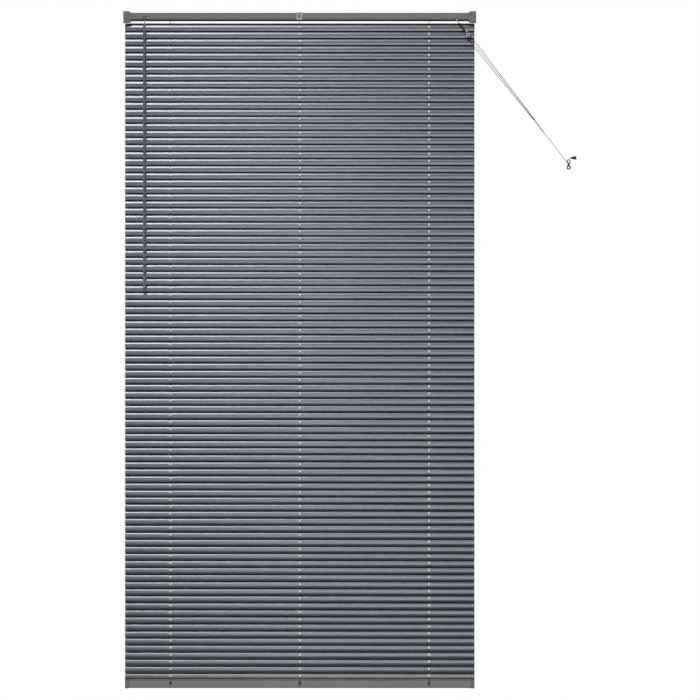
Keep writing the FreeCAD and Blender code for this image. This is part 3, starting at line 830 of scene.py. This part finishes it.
def studio_light(scene):
    """A white surround to look at, whose light on the blind is dim from below and brighter from above."""
    world = bpy.data.worlds.new("Studio white")
    scene.world = world
    world.use_nodes = True
    world.node_tree.nodes.clear()
    place = node(world, "ShaderNodeNewGeometry")
    parts = node(world, "ShaderNodeSeparateXYZ", links={"Vector": place.outputs["Incoming"]})
    height = node(
        world,
        "ShaderNodeMapRange",
        {"From Min": 0.35, "From Max": -0.9, "To Min": 0.0, "To Max": LIGHT_FROM_ABOVE},
        {"Value": parts.outputs["Z"]},
    )
    dim = node(world, "ShaderNodeBackground", {"Color": WHITE}, {"Strength": height.outputs["Result"]})
    white = node(world, "ShaderNodeBackground", {"Color": WHITE})
    ray = node(world, "ShaderNodeLightPath")
    mix = node(world, "ShaderNodeMixShader", links={"Fac": ray.outputs["Is Camera Ray"]})
    world.node_tree.links.new(dim.outputs[0], mix.inputs[1])
    world.node_tree.links.new(white.outputs[0], mix.inputs[2])
    node(world, "ShaderNodeOutputWorld", links={"Surface": mix.outputs[0]})


class BLIND_OT_finishes(bpy.types.Operator):
    """Makes every material and gives the CAD nodes theirs"""

    bl_idname = "blind.finishes"
    bl_label = "Finishes"

    def execute(self, context):
        make_finishes()
        groups = {
            "headrail": ["headrail"],
            "rail": ["bottom_rail"],
            "bracket": ["bracket_left", "bracket_right", "bracket_door_left", "bracket_door_right"],
            "cap": ["bottom_rail_caps", "headrail_plug_left", "headrail_plug_right"],
            "nylon": ["ladder_cradles", "ladder_drums", "tilter_housing", "lock_housing", "worm_wheel"],
            "zinc": ["tilt_rod", "worm_shaft", "lock_pin"],
            "brass": ["lock_roller"],
            "wand": ["wand", "wand_connector"],
            "dark": ["bottom_rail_plugs", "cord_cleat", "tassel"],
            "pale": ["cord_ring", "cord_bead", "cord_joiner"],
            "clear": ["centre_bracket"],
        }
        for finish, names in groups.items():
            for name in names:
                paint_node(name, FINISH[finish])
        return {"FINISHED"}


class BLIND_OT_stage(bpy.types.Operator):
    """Makes the floor, the lights and the camera"""

    bl_idname = "blind.stage"
    bl_label = "Stage"

    def execute(self, context):
        deselect()
        floor_z = CAD_BOX[0].z - FLOOR_GAP
        bpy.ops.mesh.primitive_plane_add(size=1, location=(*FLOOR_PLACE, floor_z))
        floor = added("floor")
        floor.scale = FLOOR_SIZE
        apply_place(floor)
        paint(floor, plain_floor("Pale matt floor"))
        studio_light(context.scene)
        for name, place, size, power in LAMPS:
            data = bpy.data.lights.new(name, "AREA")
            data.size = size
            data.energy = power
            lamp = bpy.data.objects.new(name, data)
            lamp.location = place
            lamp.rotation_euler = (LAMP_TARGET - Vector(place)).to_track_quat("-Z", "Y").to_euler()
            context.scene.collection.objects.link(lamp)
        camera_data = bpy.data.cameras.new("camera")
        camera = bpy.data.objects.new("camera", camera_data)
        context.scene.collection.objects.link(camera)
        camera_data.sensor_width = SENSOR_WIDTH
        camera_data.lens = SENSOR_WIDTH * CAMERA_DISTANCE / VIEW_WIDTH
        camera_data.clip_start = 0.1
        camera_data.clip_end = 100
        camera.location = (CAMERA_X, VIEW_PLANE_Y - CAMERA_DISTANCE, CAMERA_Z)
        camera.rotation_euler = (math.radians(90), 0, 0)
        context.scene.camera = camera
        context.scene.view_settings.view_transform = "Standard"
        return {"FINISHED"}


class BLIND_PT_panel(bpy.types.Panel):
    """Lists the sizes, colours and makers of the blind"""

    bl_idname = "BLIND_PT_panel"
    bl_label = "Venetian blind"
    bl_space_type = "VIEW_3D"
    bl_region_type = "UI"
    bl_category = "Blind"

    def draw(self, context):
        scene = context.scene
        for settings in (scene.blind_slats, scene.blind_rails, scene.blind_cords):
            for key in settings.__annotations__:
                self.layout.prop(settings, key)
        for maker in MAKERS:
            self.layout.operator(maker.bl_idname)


GROUPS = (("blind_slats", SlatSettings), ("blind_rails", RailSettings), ("blind_cords", CordSettings))
MAKERS = (
    BLIND_OT_finishes,
    BLIND_OT_slats,
    BLIND_OT_ladders,
    BLIND_OT_drum_strings,
    BLIND_OT_lift_cords,
    BLIND_OT_pull_cords,
    BLIND_OT_stage,
)


def register():
    """Adds the settings, the makers and the panel."""
    for name, settings in GROUPS:
        bpy.utils.register_class(settings)
        setattr(bpy.types.Scene, name, PointerProperty(type=settings))
    for maker in (*MAKERS, BLIND_PT_panel):
        bpy.utils.register_class(maker)


def unregister():
    """Takes them away again."""
    for maker in reversed((*MAKERS, BLIND_PT_panel)):
        bpy.utils.unregister_class(maker)
    for name, settings in reversed(GROUPS):
        delattr(bpy.types.Scene, name)
        bpy.utils.unregister_class(settings)


def main():
    """Makes the whole blind."""
    register()
    bpy.ops.blind.finishes()
    bpy.ops.blind.slats()
    bpy.ops.blind.ladders()
    bpy.ops.blind.drum_strings()
    bpy.ops.blind.lift_cords()
    bpy.ops.blind.pull_cords()
    bpy.ops.blind.stage()


if __name__ == "__main__":
    main()
